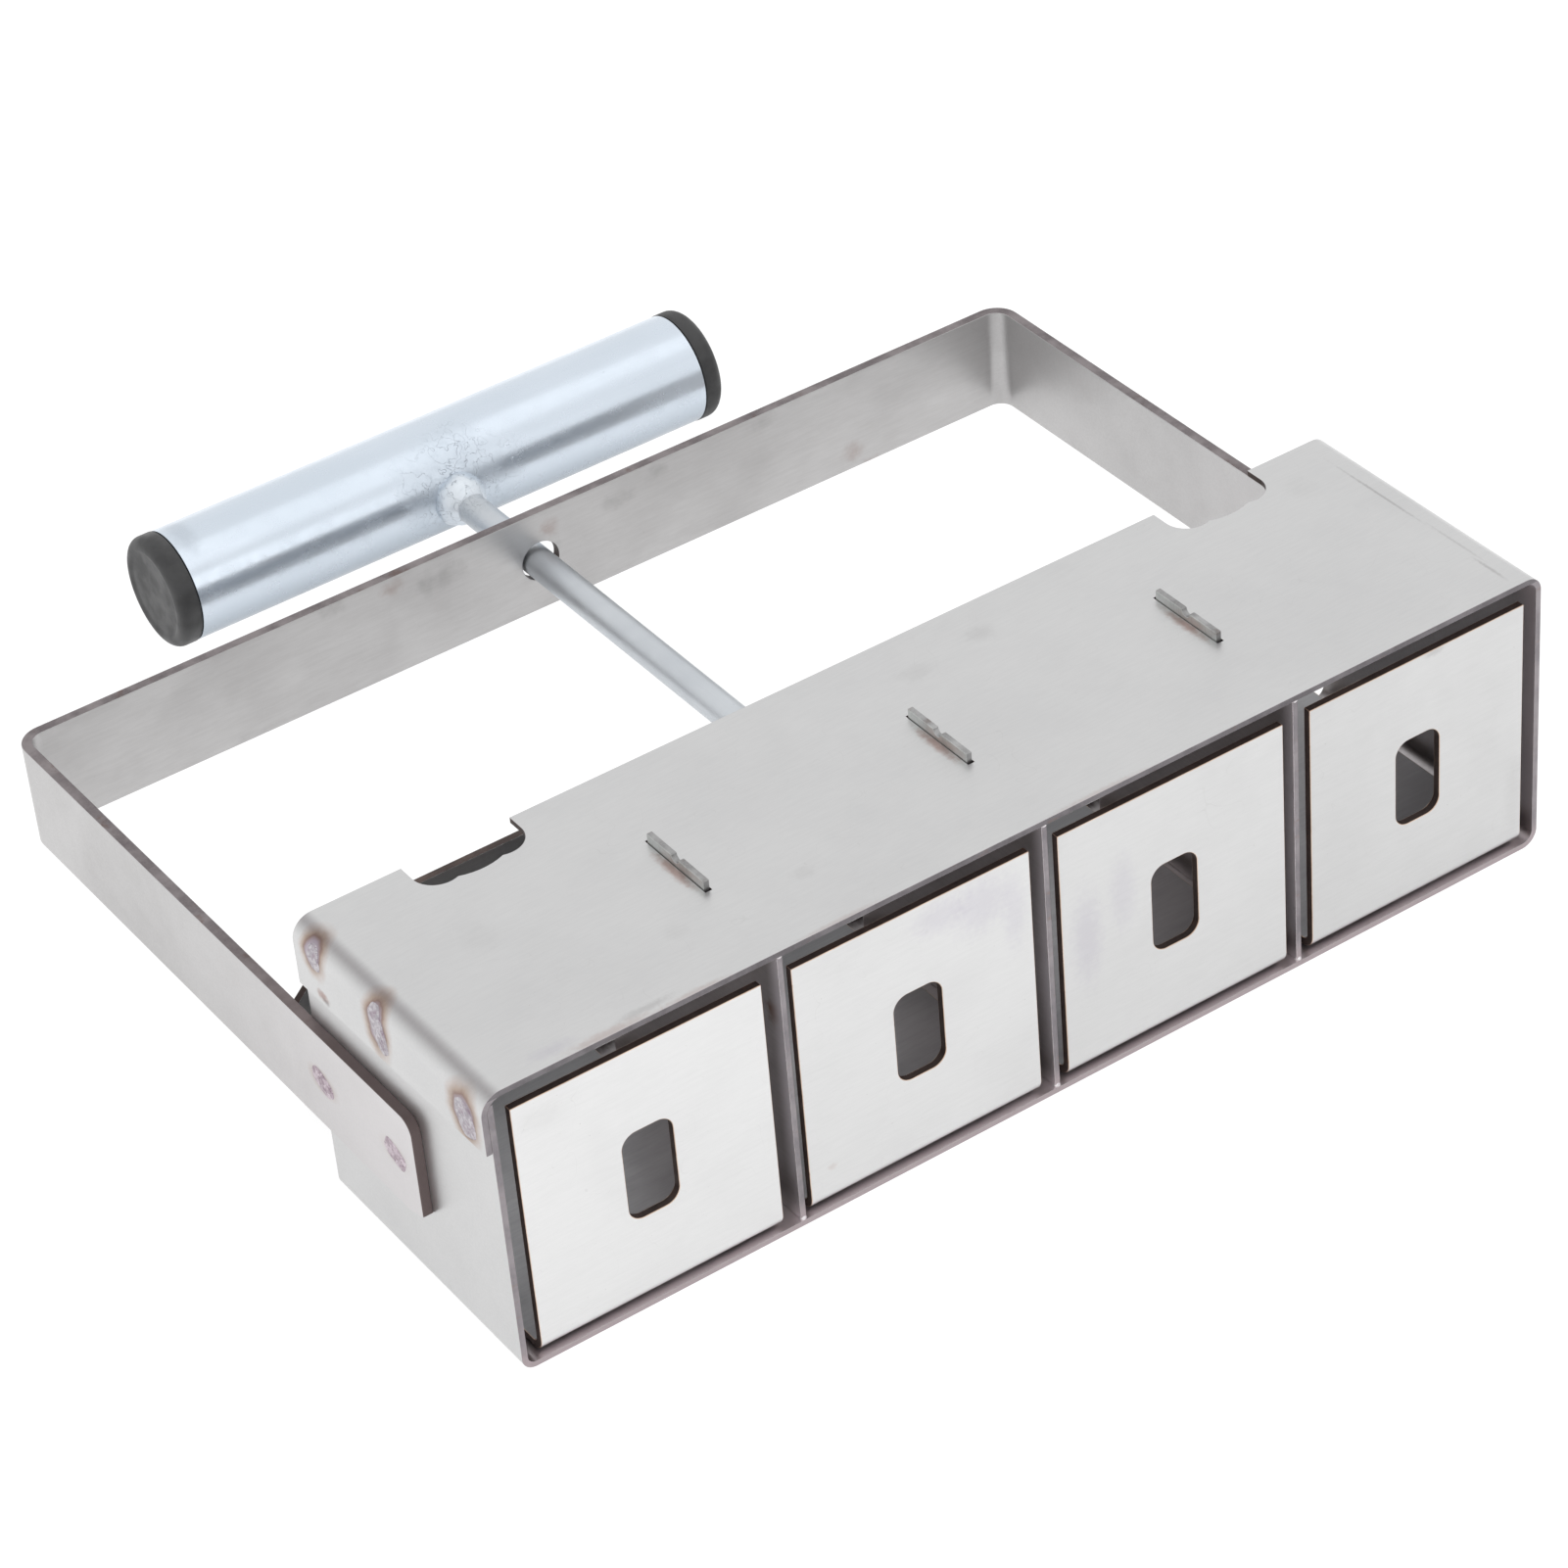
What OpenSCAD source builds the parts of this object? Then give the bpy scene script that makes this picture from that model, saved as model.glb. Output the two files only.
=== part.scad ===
// Soil blocker: four cells in a row, a sliding plunger and a pull handle.
// X runs along the row, Y from the open mouth back to the handle, Z up.
// The origin is the centre of the casing's bottom outer face.

/* [Casing] */
// width over the two end walls
casing_w = 214; // [150:1:300]
// height over the top and bottom walls
casing_h = 58; // [44:0.5:90]
// depth from the mouth to the rear edge
casing_d = 57.4; // [48:0.1:90]
// thickness of the sheet
casing_t = 1.1; // [0.8:0.1:1.4]
// how far the bottom wall reaches out behind the others, between the end walls
floor_extra = 1.6; // [0:0.1:3]
// outer radius of the two right bends
casing_r = 3.2; // [2:0.1:5]
// outer radius of the sharper bend at the lower left
sharp_r = 2.6; // [1.5:0.1:3]
// outer radius of the bend over the flange
flange_r = 4; // [3:0.1:5]
// height of the hollow between that bend and the end wall's top
wall_short = 1; // [0.5:0.1:1.5]
// play between the flange and the end wall under it
lap_gap = 0.05; // [0.02:0.01:0.2]
// height of the flange at the mouth
flange_front_h = 11.5; // [8:0.1:14]
// height of the flange at the rear
flange_rear_h = 12.8; // [9:0.1:16]
// width of the notches in the top wall's rear edge
notch_w = 21; // [16:0.5:26]
// depth of a notch at its middle lobe
notch_d = 8.6; // [7:0.1:12]
// how much shallower the outer lobes are
notch_step = 0.5; // [0.2:0.1:1]
// radius of the middle lobe
notch_mid_r = 11.7; // [11:0.1:13]
// radius of the outer lobes
notch_side_r = 4.5; // [3:0.1:5]
// distance of the left notch from the middle
notch_left_x = 76.6; // [70:0.1:85]
// distance of the right notch from the middle
notch_right_x = 78.6; // [70:0.1:85]

/* [Dividers] */
// how much wider the left cell is than the two middle ones
left_extra = 2.2; // [0:0.1:3]
// how much wider the right cell is than the two middle ones
right_extra = 0.9; // [0:0.1:3]
// how far the dividers' front edges lie behind the mouth
divider_inset = 0.3; // [0.2:0.1:1]
// how far a divider ends short of the casing's rear edge
divider_short = 1.4; // [0:0.1:4]
// distance of a tab from the mouth
tab_y = 20.5; // [15:0.1:25]
// length of a tab
tab_l = 16.6; // [10:0.1:25]
// height of a tab above the top wall
tab_h = 1.8; // [1:0.1:3]
// radius of the nick in the middle of a tab
nick_r = 1; // [0.5:0.1:1.5]
// play beside a tab in its slot
slot_side = 0.1; // [0.05:0.01:0.3]
// length of the slot past each end of the tab
slot_end = 0.5; // [0.3:0.1:2]

/* [Plunger] */
// thickness of the ejectors and the crosshead plate
plate_t = 1.5; // [1:0.1:2]
// how much further apart the ejectors stand than the dividers
pitch_extra = 0.55; // [0:0.05:0.8]
// play of an ejector across its cell
cell_play = 4.1; // [3.8:0.1:6]
// height of the gap under an ejector's leg
leg_gap = 0.6; // [0.3:0.05:1]
// how far a leg keeps its full width behind the casing's rear edge
leg_shoulder = 2; // [1:0.1:6]
// how much narrower on each side it is from there on
leg_step = 2.6; // [1:0.1:5]
// height of the gap over an ejector's face
top_gap = 3.6; // [1:0.1:5]
// outer radius of an ejector's bend
ejector_r = 2.8; // [1.6:0.1:4]
// width of the window
window_w = 9.7; // [6:0.1:14]
// height of the window
window_h = 17.9; // [12:0.1:26]
// radius of the window's corners
window_r = 2.8; // [1:0.1:3]
// height of the window's middle over the rod's axis
window_rise = 0.8; // [0:0.1:2]
// distance from the casing's rear edge to the crosshead plate
crosshead_out = 21.9; // [20:0.1:30]
// play between the crosshead plate's ends and the strap
crosshead_play = 4; // [1:0.5:8]
// height of the crosshead plate over the rod's axis
crosshead_rise = 7.5; // [6:0.1:10]
// width and height cut off its upper corners
crosshead_cut = 16.6; // [8:0.1:17]
// width and height cut off its lower corners
crosshead_foot = 3.5; // [2:0.1:6]
// how far the rod and the strap lie below the casing's mid height
pull_drop = 1.9; // [0:0.1:3]
// how far the rod and the tube stand left of the strap's middle
pull_left = 0.6; // [0:0.1:0.6]
// radius of the rod
rod_r = 3; // [2.5:0.1:3.5]

/* [Strap] */
// thickness of the flat bar
strap_t = 2; // [1.5:0.1:3]
// width of the flat bar
strap_w = 21; // [18:0.1:24]
// distance of the strap's front ends from the mouth
strap_y = 23.7; // [20:0.1:28]
// length of the strap along the row's depth
strap_l = 134.8; // [128:0.1:140]
// outer radius of the rear bends
strap_r = 5; // [4:0.1:8]
// radius of the upper corner of the front ends
strap_corner_r = 3; // [2:0.1:8]
// length of the shallow cut at the lower front corner of each leg
strap_cut_l = 4; // [2:0.1:8]
// height of that cut
strap_cut_h = 1.2; // [0.5:0.1:3]
// radius of the hole for the rod
strap_hole_r = 4; // [3.8:0.1:5]

/* [Handle] */
// distance from the mouth to the tube's axis
handle_y = 195; // [190:0.1:200]
// radius of the tube
tube_r = 11; // [10:0.1:12]
// wall of the tube
tube_t = 1.5; // [1:0.1:2]
// length of the tube without its caps
tube_l = 113; // [105:0.5:120]
// radius of a cap's rim
cap_r = 11.1; // [11:0.1:12.5]
// width of a cap's rim
cap_l = 4.4; // [4:0.1:7]
// rounding of the rim's outer edge
cap_round = 1.9; // [0.5:0.1:2.5]
// depth of the hollow in a cap's face
cap_dish = 0.3; // [0.2:0.1:1]
// width of the flat edge round that hollow
cap_edge = 0.8; // [0.3:0.1:1.5]
// width of the groove between a cap's rim and the tube
cap_groove = 0.3; // [0.2:0.1:0.6]
// depth of that groove below the tube's outside
cap_groove_h = 0.6; // [0.3:0.1:1]
// length of the plug inside the tube
plug_l = 9; // [6:0.5:14]
// wall of the plug
plug_t = 1.6; // [1:0.1:2.5]
// play between the plug and the tube
plug_gap = 0.05; // [0.02:0.01:0.1]

/* [Welds] */
// how far the weld spots stand out of the sheet
spot_h = 0.35; // [0.2:0.05:0.6]
// half the width of the flat at the ends of the weld spots
seam_flat = 0.1; // [0.05:0.01:0.4]
// angle in degrees at which those on the flange lean back
seam_lean = 17; // [0:1:30]
// length of the weld spots on the strap
plug_weld_l = 7.6; // [5:0.1:10]
// height of the weld spots on the strap
plug_weld_h = 3.3; // [2:0.1:4]
// angle in degrees by which their front ends hang
plug_weld_dip = 11; // [0:1:30]
// distance of the strap's front weld spot from the mouth
plug_front_y = 30.3; // [29:0.1:36]
// distance of its rear weld spot from the mouth
plug_rear_y = 53.1; // [44:0.1:54]
// radius of the weld drops at the dividers' ends
drop_r = 0.8; // [0.5:0.1:1.2]
// side of the welds between legs and crosshead plate
fillet = 2.2; // [1:0.1:3]
// length of one such weld
fillet_l = 12; // [6:1:20]
// distance between the two welds of one leg
fillet_pitch = 26; // [24:1:30]
// outer radius of the weld at the rod's foot
foot_r = 6; // [5:0.1:8]
// height of that weld
foot_h = 3; // [2:0.1:4]
// radius of the weld between rod and tube
bead_r = 5.6; // [4:0.1:6]
// its reach along the rod from the tube's surface
bead_l = 4.4; // [4:0.1:6]
// length of its tapered end
bead_taper = 2.8; // [1:0.1:3.5]

/* [Hidden] */
cut = 0.5; // overrun of every cut
half_w = casing_w / 2;
mouth = -casing_d / 2;
rear = casing_d / 2;
roof = casing_h - casing_t; // underside of the top wall
flange_x = -half_w - lap_gap - casing_t; // outer face of the flange
cell_w = (casing_w - 5 * casing_t - left_extra - right_extra) / 4; // a middle cell
divider_pitch = cell_w + casing_t;
divider_middle = (left_extra - right_extra) / 2; // place of the middle divider
ejector_pitch = divider_pitch + pitch_extra;
ejector_w = cell_w - cell_play;
leg_z = casing_t + leg_gap; // underside of the legs
face_top = roof - top_gap;
pull_z = casing_h / 2 - pull_drop;
crosshead_front = rear + crosshead_out;
crosshead_back = crosshead_front + plate_t;
strap_front = mouth + strap_y;
strap_back = strap_front + strap_l;
strap_low = pull_z - strap_w / 2;
strap_high = pull_z + strap_w / 2;
handle_mid = mouth + handle_y;
tube_in = tube_r - tube_t;
seam_spots = [ // each spot's distance from the mouth, depth of its middle below the top, width and height
    [51, 3.7, 3.8, 5.6],
    [31.3, 6, 4.4, 10.6],
    [5.4, 7.2, 6, 8.4]
];
$fn = 96;

// Extrudes an outline drawn in X and Z from y = from to y = to.
module along_y(from, to) {
    translate([0, to, 0])
        rotate([90, 0, 0])
            linear_extrude(to - from)
                children();
}

// Extrudes an outline drawn in Y and Z from x = from to x = to.
module along_x(from, to) {
    translate([from, 0, 0])
        rotate([90, 0, 90])
            linear_extrude(to - from)
                children();
}

// Rectangle with round corners, centred on its own middle.
module rounded(w, h, r) {
    square([w - 2 * r, h], center = true);
    square([w, h - 2 * r], center = true);
    for (sx = [-1, 1], sy = [-1, 1])
        translate([sx * (w / 2 - r), sy * (h / 2 - r)])
            circle(r);
}

// Frame of one wall thickness with round bends.
module frame_outline(w, h, r, t) {
    difference() {
        rounded(w, h, r);
        rounded(w - 2 * t, h - 2 * t, r - t);
    }
}

// Area inside the left wall, the bottom, the right wall and the top, drawn in by that much.
module casing_area(in) {
    translate([0, casing_h / 2])
        rounded(casing_w - 2 * in, casing_h - 2 * in, casing_r - in);
    translate([casing_r - half_w, casing_r])
        rounded(2 * (casing_r - in), 2 * (casing_r - in), sharp_r - in);
}

// Outside of the casing over the flange, standing out by that much.
module flange_outline(out, t) {
    translate([(half_w + flange_x) / 2, casing_h / 2])
        frame_outline(half_w - flange_x + 2 * out, casing_h + 2 * out, flange_r + out, t);
}

// Section of the casing: left wall, bottom, right wall, top, and the flange outside the left wall.
module casing_outline() {
    difference() {
        casing_area(0);
        casing_area(casing_t);
        translate([-half_w - cut, casing_h - flange_r])
            square([flange_r + cut, flange_r + cut]);
    }
    intersection() {
        translate([flange_x + flange_r, casing_h - flange_r])
            circle(flange_r - casing_t - lap_gap);
        translate([-half_w, casing_h - flange_r])
            square([casing_t, flange_r - casing_t - wall_short]);
    }
    intersection() {
        flange_outline(0, casing_t);
        translate([flange_x - cut, casing_h - flange_rear_h])
            square([flange_r + 2 * casing_t + 2 * cut, casing_h]);
    }
}

// Notch with two small lobes and one wide one, open to +Y, its deepest point at the origin.
module notch() {
    side_y = notch_step + notch_side_r;
    intersection() {
        translate([-notch_w / 2, 0])
            square([notch_w, notch_d + cut]);
        union() {
            translate([0, notch_mid_r])
                circle(notch_mid_r);
            translate([-notch_w / 2, side_y])
                square([notch_w, notch_d]);
            for (s = [-1, 1])
                translate([s * (notch_w / 2 - notch_side_r), side_y])
                    circle(notch_side_r);
        }
    }
}

module casing() {
    slot_w = casing_t + 2 * slot_side;
    low = casing_h - flange_rear_h;
    color([0.80, 0.80, 0.81])
        difference() {
            union() {
                along_y(mouth, rear)
                    casing_outline();
                translate([casing_r - half_w, 0, 0])
                    cube([casing_w - 2 * casing_r, rear + floor_extra, casing_t]);
            }
            along_x(flange_x - cut, flange_x + casing_t + lap_gap / 2)
                polygon([
                    [mouth - cut, low - cut],
                    [rear + cut, low - cut],
                    [rear + cut, low],
                    [rear, low],
                    [mouth, casing_h - flange_front_h],
                    [mouth - cut, casing_h - flange_front_h]
                ]);
            for (x = [-notch_left_x, notch_right_x])
                translate([x, rear - notch_d, roof - cut])
                    linear_extrude(casing_t + 2 * cut)
                        notch();
            for (i = [-1 : 1])
                translate([divider_middle + i * divider_pitch - slot_w / 2, mouth + tab_y - slot_end, roof - cut])
                    cube([slot_w, tab_l + 2 * slot_end, casing_t + 2 * cut]);
        }
}

// Divider number i, counted from the middle one.
module divider(i) {
    x = divider_middle + i * divider_pitch;
    tab_top = casing_h + tab_h;
    color([0.86, 0.86, 0.87])
        along_x(x - casing_t / 2, x + casing_t / 2)
            difference() {
                union() {
                    translate([mouth + divider_inset, casing_t])
                        square([casing_d - divider_inset - divider_short, roof - casing_t]);
                    translate([mouth + tab_y, casing_h / 2])
                        square([tab_l, tab_top - casing_h / 2]);
                }
                translate([mouth + tab_y + tab_l / 2, tab_top])
                    circle(nick_r);
            }
}

// Leaning oval weld spots on the flange and its bend.
module seam_welds() {
    color([0.62, 0.62, 0.66])
        for (spot = seam_spots)
            intersection() {
                along_y(mouth, rear)
                    flange_outline(spot_h, spot_h);
                along_x(flange_x - spot_h - cut, flange_x + flange_r)
                    translate([mouth + spot[0], casing_h - spot[1]])
                        rotate(-seam_lean)
                            rounded(spot[2], spot[3], spot[2] / 2 - seam_flat);
            }
}

// Drops of weld in front of the dividers' ends, against the top and bottom walls.
module divider_welds() {
    color([0.70, 0.70, 0.72])
        along_y(mouth, mouth + divider_inset)
            intersection() {
                for (i = [-1 : 1], z = [casing_t, roof])
                    translate([divider_middle + i * divider_pitch, z])
                        circle(drop_r);
                translate([-half_w, casing_t])
                    square([casing_w, roof - casing_t]);
            }
}

module strap_frame() {
    outer_w = casing_w + 2 * strap_t;
    color([0.74, 0.73, 0.74])
        difference() {
            translate([0, 0, strap_low])
                linear_extrude(strap_w)
                    intersection() {
                        translate([0, strap_back - strap_l])
                            frame_outline(outer_w, 2 * strap_l, strap_r, strap_t);
                        translate([-outer_w, strap_front])
                            square([2 * outer_w, 2 * strap_l]);
                    }
            along_x(-outer_w, outer_w)
                difference() {
                    translate([strap_front - cut, strap_high - strap_corner_r])
                        square([strap_corner_r + cut, strap_corner_r + cut]);
                    translate([strap_front + strap_corner_r, strap_high - strap_corner_r])
                        circle(strap_corner_r);
                }
            along_x(-outer_w, outer_w)
                polygon([
                    [strap_front - cut, strap_low - cut],
                    [strap_front + strap_cut_l, strap_low - cut],
                    [strap_front + strap_cut_l, strap_low],
                    [strap_front, strap_low + strap_cut_h],
                    [strap_front - cut, strap_low + strap_cut_h]
                ]);
            along_y(strap_back - strap_t - cut, strap_back + cut)
                translate([0, pull_z])
                    circle(strap_hole_r);
        }
}

// Oval weld spots on one leg of the strap: s is -1 on the left and 1 on the right.
module strap_welds(s) {
    x = s * (half_w + strap_t + spot_h / 2);
    color([0.60, 0.58, 0.62])
        for (y = [plug_front_y, plug_rear_y])
            along_x(x - spot_h / 2, x + spot_h / 2)
                translate([mouth + y, pull_z])
                    rotate(plug_weld_dip)
                        rounded(plug_weld_l, plug_weld_h, plug_weld_h / 2 - seam_flat);
}

// Section of an ejector in Y and Z: the face, the bend and the leg.
module ejector_outline() {
    translate([mouth, leg_z + ejector_r])
        square([plate_t, face_top - leg_z - ejector_r]);
    translate([mouth + ejector_r, leg_z])
        square([crosshead_front - mouth - ejector_r, plate_t]);
    translate([mouth + ejector_r, leg_z + ejector_r])
        intersection() {
            difference() {
                circle(ejector_r);
                circle(ejector_r - plate_t);
            }
            translate([-ejector_r, -ejector_r])
                square(ejector_r);
        }
}

// Ejector number i, counted from the left.
module ejector(i) {
    x = (i - 2.5) * ejector_pitch;
    side = ejector_w / 2;
    color([0.90, 0.90, 0.91])
        difference() {
            along_x(x - side, x + side)
                ejector_outline();
            along_y(mouth - cut, mouth + plate_t + cut)
                translate([x, pull_z + window_rise])
                    rounded(window_w, window_h, window_r);
            for (s = [-1, 1])
                translate([x, 0, leg_z - cut])
                    linear_extrude(plate_t + 2 * cut)
                        polygon([
                            [s * (side + cut), rear + leg_shoulder - cut],
                            [s * (side - leg_step), rear + leg_shoulder + leg_step],
                            [s * (side - leg_step), crosshead_front + cut],
                            [s * (side + cut), crosshead_front + cut]
                        ]);
        }
}

module crosshead_plate() {
    half = half_w - crosshead_play;
    top = pull_z + crosshead_rise;
    color([0.72, 0.71, 0.72])
        along_y(crosshead_front, crosshead_back)
            polygon([
                [-half, leg_z + crosshead_foot],
                [crosshead_foot - half, leg_z],
                [half - crosshead_foot, leg_z],
                [half, leg_z + crosshead_foot],
                [half, top - crosshead_cut],
                [half - crosshead_cut, top],
                [crosshead_cut - half, top],
                [-half, top - crosshead_cut]
            ]);
}

// Two fillets on top of every leg, against the crosshead plate.
module leg_welds() {
    base = leg_z + plate_t;
    color([0.60, 0.60, 0.63])
        for (i = [1 : 4], s = [-1, 1])
            translate([(i - 2.5) * ejector_pitch + s * fillet_pitch / 2, 0, 0])
                along_x(-fillet_l / 2, fillet_l / 2)
                    polygon([
                        [crosshead_front, base],
                        [crosshead_front, base + fillet],
                        [crosshead_front - fillet, base]
                    ]);
}

// The handle tube's outside, also used to cut what meets it.
module tube_outside() {
    translate([-tube_l / 2 - pull_left, handle_mid, pull_z])
        rotate([0, 90, 0])
            cylinder(r = tube_r, h = tube_l);
}

module plunger_rod() {
    color([0.80, 0.82, 0.84])
        difference() {
            along_y(crosshead_back, handle_mid)
                translate([-pull_left, pull_z])
                    circle(rod_r);
            tube_outside();
        }
}

module rod_foot_weld() {
    color([0.60, 0.60, 0.63])
        translate([-pull_left, crosshead_back, pull_z])
            rotate([-90, 0, 0])
                rotate_extrude()
                    polygon([[rod_r, 0], [foot_r, 0], [rod_r, foot_h]]);
}

module handle_weld() {
    reach = bead_l + tube_r / 2;
    color([0.70, 0.72, 0.74])
        difference() {
            translate([-pull_left, handle_mid - tube_r - bead_l, pull_z])
                rotate([-90, 0, 0])
                    rotate_extrude()
                        polygon([[rod_r, 0], [bead_r, bead_taper], [bead_r, reach], [rod_r, reach]]);
            tube_outside();
        }
}

module handle_tube() {
    color([0.84, 0.88, 0.91])
        difference() {
            tube_outside();
            translate([-tube_l / 2 - pull_left - cut, handle_mid, pull_z])
                rotate([0, 90, 0])
                    cylinder(r = tube_in, h = tube_l + 2 * cut);
        }
}

// End cap on the side s: -1 is the left end, 1 the right end.
module handle_cap(s) {
    dish_half = cap_r - cap_round - cap_edge;
    dish_ball = (dish_half * dish_half + cap_dish * cap_dish) / (2 * cap_dish);
    plug_r = tube_in - plug_gap;
    color([0.10, 0.10, 0.11])
        translate([s * tube_l / 2 - pull_left, handle_mid, pull_z])
            rotate([0, s * 90, 0])
                difference() {
                    union() {
                        cylinder(r = tube_r - cap_groove_h, h = cap_l - cap_round);
                        translate([0, 0, cap_groove])
                            cylinder(r = cap_r, h = cap_l - cap_round - cap_groove);
                        cylinder(r = cap_r - cap_round, h = cap_l);
                        translate([0, 0, cap_l - cap_round])
                            rotate_extrude()
                                translate([cap_r - cap_round, 0])
                                    circle(cap_round);
                        translate([0, 0, -plug_l])
                            cylinder(r = plug_r, h = plug_l + cap_round);
                    }
                    translate([0, 0, cap_l - cap_dish + dish_ball])
                        sphere(dish_ball);
                    translate([0, 0, -plug_l - cut])
                        cylinder(r = plug_r - plug_t, h = plug_l + cut + cap_round);
                }
}

casing();
divider(-1);  // divider_1
divider(0);  // divider_2
divider(1);  // divider_3
seam_welds();
divider_welds();
strap_frame();
strap_welds(-1);  // strap_welds_left
strap_welds(1);  // strap_welds_right
ejector(1);  // ejector_1
ejector(2);  // ejector_2
ejector(3);  // ejector_3
ejector(4);  // ejector_4
crosshead_plate();
leg_welds();
plunger_rod();
rod_foot_weld();
handle_weld();
handle_tube();
handle_cap(-1);  // handle_cap_left
handle_cap(1);  // handle_cap_right
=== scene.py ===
"""Dresses the packed soil blocker and sets the scene of the photograph.

Lengths are in metres, or in mm where a name says so. The patterns of the finishes are placed in mm.
"""

import math

import bmesh
import bpy
from mathutils import Matrix, Vector, noise

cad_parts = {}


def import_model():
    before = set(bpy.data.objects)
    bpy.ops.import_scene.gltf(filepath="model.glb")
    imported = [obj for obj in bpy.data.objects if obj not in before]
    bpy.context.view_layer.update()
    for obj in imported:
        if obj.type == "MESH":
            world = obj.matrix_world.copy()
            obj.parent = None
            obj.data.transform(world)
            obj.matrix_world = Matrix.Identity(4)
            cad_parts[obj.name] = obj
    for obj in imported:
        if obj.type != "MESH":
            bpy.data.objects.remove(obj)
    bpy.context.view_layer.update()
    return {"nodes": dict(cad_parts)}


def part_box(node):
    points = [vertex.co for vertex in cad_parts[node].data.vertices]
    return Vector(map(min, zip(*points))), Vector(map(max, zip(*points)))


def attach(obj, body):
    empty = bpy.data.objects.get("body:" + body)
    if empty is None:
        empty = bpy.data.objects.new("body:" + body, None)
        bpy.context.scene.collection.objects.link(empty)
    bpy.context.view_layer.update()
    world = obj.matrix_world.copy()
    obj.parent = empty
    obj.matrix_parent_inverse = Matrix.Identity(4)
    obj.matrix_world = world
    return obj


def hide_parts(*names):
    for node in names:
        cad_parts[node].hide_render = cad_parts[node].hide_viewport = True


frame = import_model()
MM = 0.001


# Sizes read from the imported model, in mm
def low_mm(node, axis):
    """Lowest corner of a CAD node along an axis."""
    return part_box(node)[0]["xyz".index(axis)] / MM


def high_mm(node, axis):
    """Highest corner of a CAD node along an axis."""
    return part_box(node)[1]["xyz".index(axis)] / MM


MOUTH = low_mm("casing", "y")
REAR = -MOUTH
LIP = high_mm("casing", "y")
TOP = high_mm("casing", "z")
WALL = high_mm("casing", "x")
FLANGE_FACE = low_mm("casing", "x")
STRAP_SIDE = high_mm("strap_frame", "x")
STRAP_BACK = high_mm("strap_frame", "y")
STRAP_FRONT = low_mm("strap_frame", "y")
ROD_X = (low_mm("plunger_rod", "x") + high_mm("plunger_rod", "x")) / 2
ROD_R = (high_mm("plunger_rod", "x") - low_mm("plunger_rod", "x")) / 2
PULL_Z = (low_mm("plunger_rod", "z") + high_mm("plunger_rod", "z")) / 2
HANDLE_Y = (low_mm("handle_tube", "y") + high_mm("handle_tube", "y")) / 2
TUBE_R = (high_mm("handle_tube", "y") - low_mm("handle_tube", "y")) / 2
TUBE_LEFT = low_mm("handle_tube", "x")
TUBE_RIGHT = high_mm("handle_tube", "x")
CAP_R = (high_mm("handle_cap_left", "z") - low_mm("handle_cap_left", "z")) / 2
WELD_R = (high_mm("handle_weld", "z") - low_mm("handle_weld", "z")) / 2
WELD_TIP = low_mm("handle_weld", "y")
SHEET_T = high_mm("divider_1", "x") - low_mm("divider_1", "x")

# Sizes that the nodes' boxes don't give, in mm
FLANGE_BEND = 4.0  # outer radius of the bend between roof and flange
SLOT_REACH = 95.0  # distance from the middle within which the roof's slots and notches lie
TAB_FOOT = TOP - 0.2  # height at which a divider's side becomes its tab's
WINDOW_ZONE = (10.0, 50.0)  # heights between which the ejectors' windows lie
HOLE_ZONE = 6.0  # half width of the square round the rod that holds the strap's hole
STRAP_END = 7.0  # depth of the rounded front end of the strap
CAP_OUT = 4.4  # length of a cap outside the tube
CAP_SHOULDER = 1.9  # radius of a cap's rounded shoulder
PLUG_R = 9.3  # radius of a cap's plug inside the tube
DROP_R = 0.75  # radius of a weld drop on a divider
BEAD_R = 1.1  # radius of a weld drop on an ejector's leg
BEAD_STEP = 0.9  # distance between the drops of a row on a leg
BEADS_IN_ROW = 13
BEAD_ROW = 13.0  # distance of a row's middle from the ejector's middle


def tone(red, green, blue):
    """A colour given as it looks on screen, turned into the linear values that the shaders take."""
    shares = [c / 255 for c in (red, green, blue)]
    linear = [s / 12.92 if s <= 0.04 else ((s + 0.055) / 1.055) ** 2.4 for s in shares]
    return (*linear, 1.0)


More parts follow.
